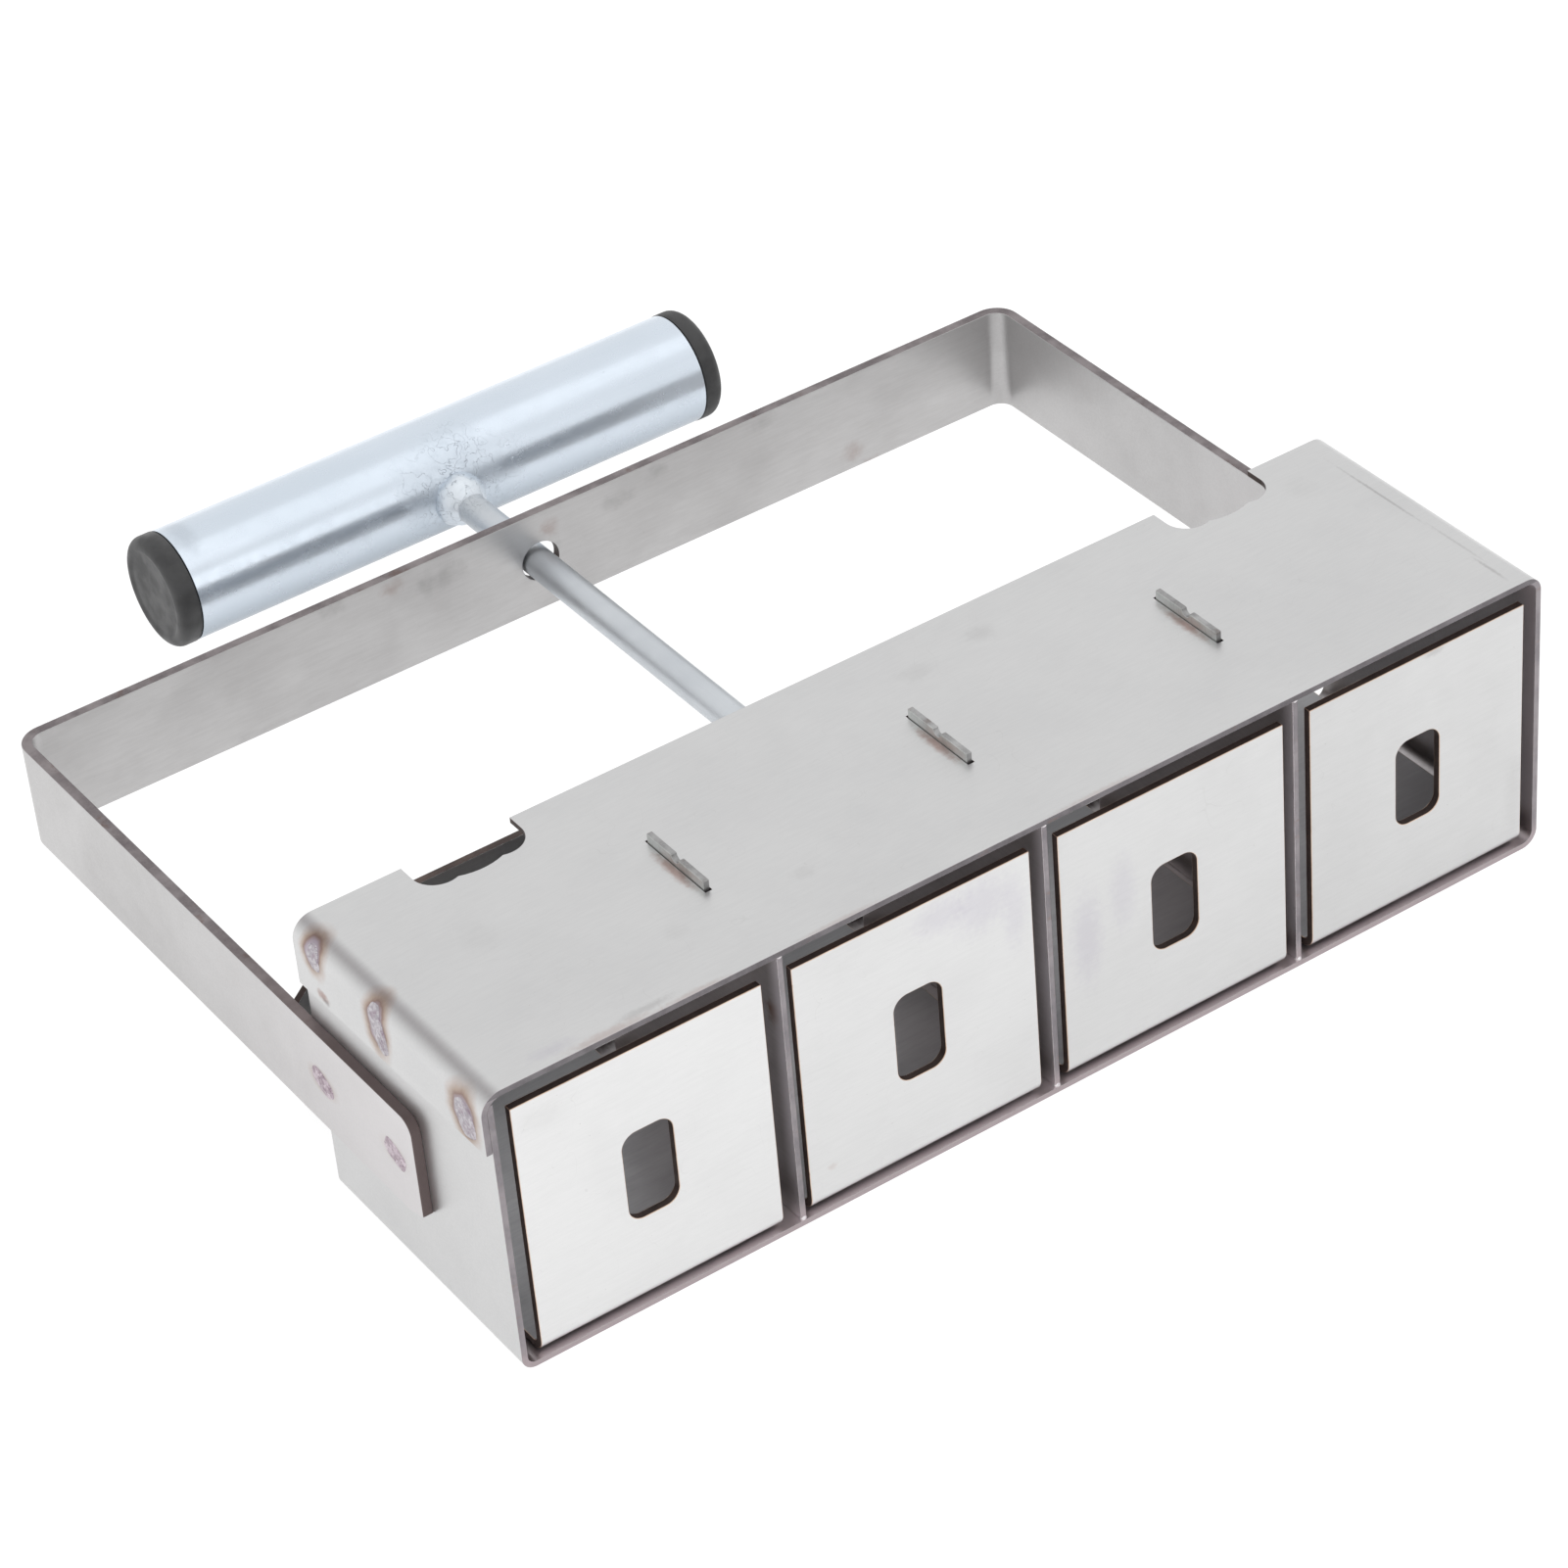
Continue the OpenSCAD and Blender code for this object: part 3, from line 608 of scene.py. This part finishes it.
def ejector_faces(p, n):
    """Face 0, back and leg 1 in painted shade, burnt edges 2. The soft edges are 3."""
    if n.y < -0.3 and p.y < MOUTH + 2.3:
        return 0
    low, high = WINDOW_ZONE
    in_window = p.y < MOUTH + 1.6 and abs(n.y) < 0.5 and low < p.z < high
    if abs(n.x) > 0.5 or in_window or (n.z > 0.9 and p.z > high):
        return 2
    return 1


def strap_faces(p, n):
    """Flat sides 0, cut edges 1, hole 2."""
    if abs(p.x) < HOLE_ZONE and abs(p.z - PULL_Z) < HOLE_ZONE and abs(n.y) < 0.5:
        return 2
    front_end = p.y < STRAP_FRONT + STRAP_END and n.y < -0.2
    return 1 if abs(n.z) > 0.5 or front_end else 0


sheet_piece("casing", "casing_sheet", "frame",
            [steel_outside, steel_inside_shaded, edge_mouth, edge_burnt, edge_mouth_rim, edge_roof],
            casing_faces, soft_mm=0.08, rim=4, parting=TOP - SHEET_T - 0.05)
for i in (1, 2, 3):
    sheet_piece(f"divider_{i}", "plate", "frame", [steel_divider_shaded, edge_mouth, tab_side, tab_top],
                divider_faces, soft_mm=0.35, parting=TAB_FOOT)
for i in (1, 2, 3, 4):
    sheet_piece(f"ejector_{i}", "plate", "plunger", [steel_face[i], steel_leg_shaded, edge_burnt, rim_bright],
                ejector_faces, rim=3)
sheet_piece("crosshead_plate", "plate", "plunger", [steel_crosshead, edge_burnt],
            lambda p, n: int(abs(n.y) < 0.5))
sheet_piece("strap_frame", "flat_bar", "frame", [steel_strap, edge_strap, edge_burnt],
            strap_faces, soft_mm=0.2)


def weld_pad(bm, surface, half_u, half_v, lift, seed):
    """A raised oval pad with a ragged outline and ridges.

    surface(u, v, height) places its points, in mm.
    """
    rings, sectors = 14, 56
    rows = []
    for ring in range(rings + 1):
        share = ring / rings
        row = []
        for sector in range(sectors):
            turn = 2 * math.pi * sector / sectors
            way = Vector((math.cos(turn), math.sin(turn), seed))
            ragged = 0.93 + 0.07 * noise.noise(way * 1.9)
            u = share * half_u * ragged * math.copysign(abs(way.x) ** 0.75, way.x)
            v = share * half_v * ragged * math.copysign(abs(way.y) ** 0.75, way.y)
            dome = 1 - share ** 5
            ridge = 0.5 + 0.5 * math.sin(9 * share + 2.5 * noise.noise(Vector((u, v, seed)) * 0.6))
            lump = 0.5 + 0.5 * noise.noise(Vector((u, v, seed + 7)) * 1.3)
            height = lift * dome * (0.50 + 0.25 * ridge + 0.25 * lump)
            row.append(bm.verts.new(surface(u, v, height if ring < rings else -0.15) * MM))
        rows.append(row)
    for inner, outer in zip(rows[1:], rows[2:]):
        for k in range(sectors):
            bm.faces.new((inner[k], outer[k], outer[k - 1], inner[k - 1]))
    bmesh.ops.delete(bm, geom=rows[0][1:], context="VERTS")
    for k in range(sectors):
        bm.faces.new((rows[0][0], rows[1][k], rows[1][k - 1]))
    bm.faces.new(rows[-1])


def on_flange(y, z, lean):
    """Places points on the flange and round its bend, about a weld's middle, with its top leaning back."""
    above = z - (TOP - FLANGE_BEND)
    quarter = FLANGE_BEND * math.pi / 2
    if above > 0:
        start = FLANGE_BEND * math.acos(min(1.0, above / FLANGE_BEND))
    else:
        start = quarter - above

    def surface(u, v, height):
        back = u * math.cos(lean) + v * math.sin(lean)
        down = start - (v * math.cos(lean) - u * math.sin(lean))
        if down > quarter:
            return Vector((FLANGE_FACE - height, y + back, TOP - FLANGE_BEND - down + quarter))
        turn = down / FLANGE_BEND
        reach = FLANGE_BEND + height
        return Vector((
            FLANGE_FACE + FLANGE_BEND - reach * math.sin(turn),
            y + back,
            TOP - FLANGE_BEND + reach * math.cos(turn)
        ))
    return surface


def on_strap(side, y, dip):
    """Places points on the strap's outer face, about a weld's middle, with its front end hanging."""
    def surface(u, v, height):
        return Vector((
            side * (STRAP_SIDE + height),
            y + u * math.cos(dip) - v * math.sin(dip),
            PULL_Z + u * math.sin(dip) + v * math.cos(dip)
        ))
    return surface


def seam_pads():
    """The welds that close the flange."""
    bm = bmesh.new()
    for seed, (y, z, wide, half) in enumerate(SEAM_SPOTS):
        weld_pad(bm, on_flange(MOUTH + y, TOP - z, SEAM_LEAN), wide, half, SEAM_LIFT, seed)
    stands_for(piece_from(bm, "seam_weld_pads", [weld_seam]), "weld", "frame", "seam_welds")


def strap_pads(name, side):
    """The welds that hold one leg of the strap."""
    bm = bmesh.new()
    for seed, y in enumerate(STRAP_SPOTS):
        weld_pad(bm, on_strap(side, MOUTH + y, STRAP_DIP), *STRAP_PAD, STRAP_LIFT, seed + 5 + side)
    pads = piece_from(bm, f"strap_weld_pads_{name}", [weld_strap])
    stands_for(pads, "weld", "frame", f"strap_welds_{name}")


seam_pads()
strap_pads("left", -1)
strap_pads("right", 1)


def turned(bm, axis_point, axis, profile, sectors=96, lumps=None):
    """A closed turned body.

    profile lists (place along the axis, radius) in mm, and lumps changes a radius.
    """
    rows = []
    for place, radius in profile:
        row = []
        for k in range(sectors):
            turn = 2 * math.pi * k / sectors
            r = radius * (lumps(place, turn) if lumps else 1.0)
            across = (r * math.cos(turn), r * math.sin(turn))
            point = Vector((place, *across)) if axis == "x" else Vector((across[0], place, across[1]))
            row.append(bm.verts.new((Vector(axis_point) + point) * MM))
        rows.append(row)
    for low, high in zip(rows, rows[1:]):
        for k in range(sectors):
            bm.faces.new((low[k - 1], low[k], high[k], high[k - 1]))
    bm.faces.new(rows[0])
    bm.faces.new(rows[-1])


def cap(side):
    """End cap: a rim with a rounded shoulder, a groove against the tube and a shallow dished face."""
    steps = [math.radians(a) for a in range(0, 91, 10)]
    out, across = CAP_OUT - CAP_SHOULDER, CAP_R - CAP_SHOULDER
    profile = [(-9.0, PLUG_R), (0.0, PLUG_R), (0.0, 10.4), (0.3, 10.4), (0.3, CAP_R - 0.1), (0.4, CAP_R)]
    profile += [(out + CAP_SHOULDER * math.sin(a), across + CAP_SHOULDER * math.cos(a)) for a in steps]
    profile += [(CAP_OUT, 8.9), (CAP_OUT - 0.1, 8.6), (CAP_OUT - 0.26, 8.2)]
    profile += [(CAP_OUT - 0.3, 7.6), (CAP_OUT - 0.3, 0.01)]
    end = TUBE_LEFT if side < 0 else TUBE_RIGHT
    bm = bmesh.new()
    turned(bm, (end, HANDLE_Y, PULL_Z), "x", [(side * place, radius) for place, radius in profile])
    name = "left" if side < 0 else "right"
    piece = piece_from(bm, f"cap_{name}", [black_plastic])
    piece.data.set_sharp_from_angle(angle=math.radians(50))
    stands_for(piece, "cap", "plunger", f"handle_cap_{name}")


cap(-1)
cap(1)


def weld_lumps(place, turn):
    """Uneven outline of the weld between rod and tube."""
    way = Vector((math.cos(turn), math.sin(turn), place * 0.35))
    return 0.93 + 0.07 * noise.noise(way * 1.6) + 0.015 * noise.noise(way * 6.0)


def handle_bead():
    """The weld between rod and tube: thin at its tip on the rod, with its foot in the tube."""
    reach = HANDLE_Y - TUBE_R - WELD_TIP
    tip = [(0.0, ROD_R * 0.6), (0.1, ROD_R * 1.04), (0.5, 3.45), (1.1, 4.0)]
    tip += [(1.8, 4.6), (2.6, 5.1), (3.4, 5.4)]
    foot = [(reach, 5.55), (reach + 0.8, WELD_R), (reach + 1.6, WELD_R), (reach + 2.2, WELD_R * 0.9)]
    bm = bmesh.new()
    turned(bm, (ROD_X, WELD_TIP, PULL_Z), "y", tip + foot, lumps=weld_lumps)
    stands_for(piece_from(bm, "handle_weld_bead", [zinc_weld]), "weld", "plunger", "handle_weld")


handle_bead()


# Weld drops: one drop is repeated over marked points
def drop_tree():
    """Node group that puts an uneven drop of weld on every point of a mesh."""
    tree = bpy.data.node_groups.new("weld_drops", "GeometryNodeTree")
    face = tree.interface
    face.new_socket("Geometry", in_out="INPUT", socket_type="NodeSocketGeometry")
    face.new_socket("Drop radius", in_out="INPUT", socket_type="NodeSocketFloat")
    face.new_socket("Unevenness", in_out="INPUT", socket_type="NodeSocketFloat")
    face.new_socket("Seed", in_out="INPUT", socket_type="NodeSocketInt")
    face.new_socket("Weld finish", in_out="INPUT", socket_type="NodeSocketMaterial")
    face.new_socket("Geometry", in_out="OUTPUT", socket_type="NodeSocketGeometry")
    node = tree.nodes.new
    link = tree.links.new
    given = node("NodeGroupInput")
    drop = node("GeometryNodeMeshUVSphere")
    drop.inputs["Segments"].default_value = 20
    drop.inputs["Rings"].default_value = 12
    link(given.outputs["Drop radius"], drop.inputs["Radius"])
    place = node("GeometryNodeInputPosition")
    bumps = node("ShaderNodeTexNoise")
    bumps.inputs["Scale"].default_value = 900.0
    link(place.outputs[0], bumps.inputs["Vector"])
    dent = node("ShaderNodeMath")
    dent.operation = "MULTIPLY"
    link(bumps.outputs["Fac"], dent.inputs[0])
    link(given.outputs["Unevenness"], dent.inputs[1])
    shrink = node("ShaderNodeMath")
    shrink.operation = "SUBTRACT"
    shrink.inputs[0].default_value = 1.0
    link(dent.outputs[0], shrink.inputs[1])
    scaled = node("ShaderNodeVectorMath")
    scaled.operation = "SCALE"
    link(place.outputs[0], scaled.inputs[0])
    link(shrink.outputs[0], scaled.inputs["Scale"])
    shaped = node("GeometryNodeSetPosition")
    link(drop.outputs["Mesh"], shaped.inputs["Geometry"])
    link(scaled.outputs[0], shaped.inputs["Position"])
    turn = node("FunctionNodeRandomValue")
    turn.data_type = "FLOAT_VECTOR"
    turn.inputs[1].default_value = (6.28, 6.28, 6.28)
    link(given.outputs["Seed"], turn.inputs["Seed"])
    spread = node("GeometryNodeInstanceOnPoints")
    link(given.outputs["Geometry"], spread.inputs["Points"])
    link(shaped.outputs["Geometry"], spread.inputs["Instance"])
    link(turn.outputs[0], spread.inputs["Rotation"])
    real = node("GeometryNodeRealizeInstances")
    link(spread.outputs["Instances"], real.inputs["Geometry"])
    finish = node("GeometryNodeSetMaterial")
    link(real.outputs["Geometry"], finish.inputs["Geometry"])
    link(given.outputs["Weld finish"], finish.inputs["Material"])
    result = node("NodeGroupOutput")
    link(finish.outputs["Geometry"], result.inputs["Geometry"])
    return tree


def weld_drops(name, tree, points, radius, finish, seed):
    """A plain mesh of weld drops on the points, in mm."""
    mesh = bpy.data.meshes.new(name + "_points")
    mesh.from_pydata([Vector(p) * MM for p in points], [], [])
    carrier = bpy.data.objects.new(name + "_points", mesh)
    bpy.context.scene.collection.objects.link(carrier)
    modifier = carrier.modifiers.new("weld drops", "NODES")
    modifier.node_group = tree
    inputs = {item.name: item.identifier for item in tree.interface.items_tree if item.in_out == "INPUT"}
    modifier[inputs["Drop radius"]] = radius * MM
    modifier[inputs["Unevenness"]] = 0.16
    modifier[inputs["Seed"]] = seed
    modifier[inputs["Weld finish"]] = finish
    graph = bpy.context.evaluated_depsgraph_get()
    plain = bpy.data.meshes.new_from_object(carrier.evaluated_get(graph), depsgraph=graph)
    plain.name = name
    plain.shade_smooth()
    bpy.data.objects.remove(carrier)
    piece = bpy.data.objects.new(name, plain)
    bpy.context.scene.collection.objects.link(piece)
    return piece


def leg_weld_points():
    """Points along the fillets between the ejectors' legs and the crosshead plate."""
    points = []
    front = high_mm("leg_welds", "y") - BEAD_R
    base = low_mm("leg_welds", "z") + 0.9
    steps = [(k - (BEADS_IN_ROW - 1) / 2) * BEAD_STEP for k in range(BEADS_IN_ROW)]
    for i in (1, 2, 3, 4):
        middle = (low_mm(f"ejector_{i}", "x") + high_mm(f"ejector_{i}", "x")) / 2
        for row in (-BEAD_ROW, BEAD_ROW):
            points += [(middle + row + step, front, base) for step in steps]
    return points


tree = drop_tree()
divider_middles = [(low_mm(f"divider_{i}", "x") + high_mm(f"divider_{i}", "x")) / 2 for i in (1, 2, 3)]
drop_heights = (SHEET_T + 0.1, TOP - SHEET_T - 0.1)
drop_places = [(x, MOUTH + DROP_R, z) for x in divider_middles for z in drop_heights]
divider_drops = weld_drops("divider_weld_drops", tree, drop_places, DROP_R, weld_drop, seed=3)
leg_beads = weld_drops("leg_weld_beads", tree, leg_weld_points(), BEAD_R, weld_inner, seed=8)
stands_for(divider_drops, "weld", "frame", "divider_welds")
stands_for(leg_beads, "weld", "plunger", "leg_welds")


def dress(node, finish):
    """Gives a CAD node that is shown as it is its finish."""
    materials = frame["nodes"][node].data.materials
    materials.clear()
    materials.append(finish)


dress("rod_foot_weld", weld_inner)
dress("handle_tube", zinc_tube)
dress("plunger_rod", zinc_rod)


# Scene of the photograph. Each pair holds the floor's share for other rays and for the camera.
FLOOR_MATT = (0.60, 0.20)
FLOOR_GLOW = (0.55, 0.90)


def floor_finish():
    """White to the camera, a little darker in the metal, and shaded under the object."""
    material = bpy.data.materials.new("studio_floor")
    material.use_nodes = True
    tree = material.node_tree
    tree.nodes.clear()
    output = tree.nodes.new("ShaderNodeOutputMaterial")
    matt = tree.nodes.new("ShaderNodeBsdfDiffuse")
    rays = tree.nodes.new("ShaderNodeLightPath")
    share = tree.nodes.new("ShaderNodeMapRange")
    share.inputs["To Min"].default_value = FLOOR_MATT[0]
    share.inputs["To Max"].default_value = FLOOR_MATT[1]
    strength = tree.nodes.new("ShaderNodeMapRange")
    strength.inputs["To Min"].default_value = FLOOR_GLOW[0]
    strength.inputs["To Max"].default_value = FLOOR_GLOW[1]
    glow = tree.nodes.new("ShaderNodeEmission")
    glow.inputs["Color"].default_value = (1.0, 1.0, 1.0, 1.0)
    both = tree.nodes.new("ShaderNodeAddShader")
    tree.links.new(rays.outputs["Is Camera Ray"], share.inputs["Value"])
    tree.links.new(rays.outputs["Is Camera Ray"], strength.inputs["Value"])
    tree.links.new(share.outputs["Result"], matt.inputs["Color"])
    tree.links.new(strength.outputs["Result"], glow.inputs["Strength"])
    tree.links.new(matt.outputs[0], both.inputs[0])
    tree.links.new(glow.outputs[0], both.inputs[1])
    tree.links.new(both.outputs[0], output.inputs["Surface"])
    return material


def floor():
    """A large floor just under the object."""
    bm = bmesh.new()
    bmesh.ops.create_grid(bm, x_segments=2, y_segments=2, size=6.0)
    bmesh.ops.translate(bm, verts=bm.verts, vec=(0, 0, -0.2 * MM))
    piece_from(bm, "studio_floor", [floor_finish()])


def lamp(name, place, aim, size, radiance):
    """A rectangular soft lamp, with its brightness as the white that it shows in metal."""
    data = bpy.data.lights.new(name, "AREA")
    data.shape = "RECTANGLE"
    data.size, data.size_y = size
    data.energy = radiance * math.pi * size[0] * size[1]
    obj = bpy.data.objects.new(name, data)
    obj.location = place
    obj.rotation_mode = "QUATERNION"
    obj.rotation_quaternion = (Vector(aim) - Vector(place)).to_track_quat("-Z", "Y")
    bpy.context.scene.collection.objects.link(obj)


def world():
    """Even white light from all round."""
    data = bpy.data.worlds.new("studio")
    data.use_nodes = True
    background = data.node_tree.nodes["Background"]
    background.inputs["Color"].default_value = (1.0, 1.0, 1.0, 1.0)
    background.inputs["Strength"].default_value = 1.0
    bpy.context.scene.world = data


# Camera: its place, its direction as azimuth and elevation, and its roll, fitted to the photograph's edges
CAMERA_MM = (-381.33, -567.43, 566.64)
AZIMUTH = -31.729
ELEVATION = 36.995
ROLL = -5.211
SENSOR_MM = 36
FOCAL_PX = 5246.2
PHOTO_PX = 1601


def camera():
    """The photograph's camera."""
    azimuth, elevation = math.radians(AZIMUTH), math.radians(ELEVATION)
    forward = Vector((
        -math.sin(azimuth) * math.cos(elevation),
        math.cos(azimuth) * math.cos(elevation),
        -math.sin(elevation)
    ))
    data = bpy.data.cameras.new("photo_camera")
    data.sensor_width = SENSOR_MM
    data.lens = SENSOR_MM * (FOCAL_PX / PHOTO_PX)
    obj = bpy.data.objects.new("photo_camera", data)
    turn = forward.to_track_quat("-Z", "Y").to_matrix() @ Matrix.Rotation(math.radians(ROLL), 3, "Z")
    obj.matrix_world = Matrix.Translation(Vector(CAMERA_MM) * MM) @ turn.to_4x4()
    bpy.context.scene.collection.objects.link(obj)
    bpy.context.scene.camera = obj


floor()
lamp("overhead", place=(0.35, -0.12, 1.1), aim=(0, 0.1, 0), size=(0.9, 0.6), radiance=0.25)
lamp("front_card", place=(0.13, -0.42, 0.26), aim=(0, 0.16, 0.03), size=(0.22, 0.32), radiance=0.4)
world()
camera()
bpy.context.scene.view_settings.view_transform = "Standard"
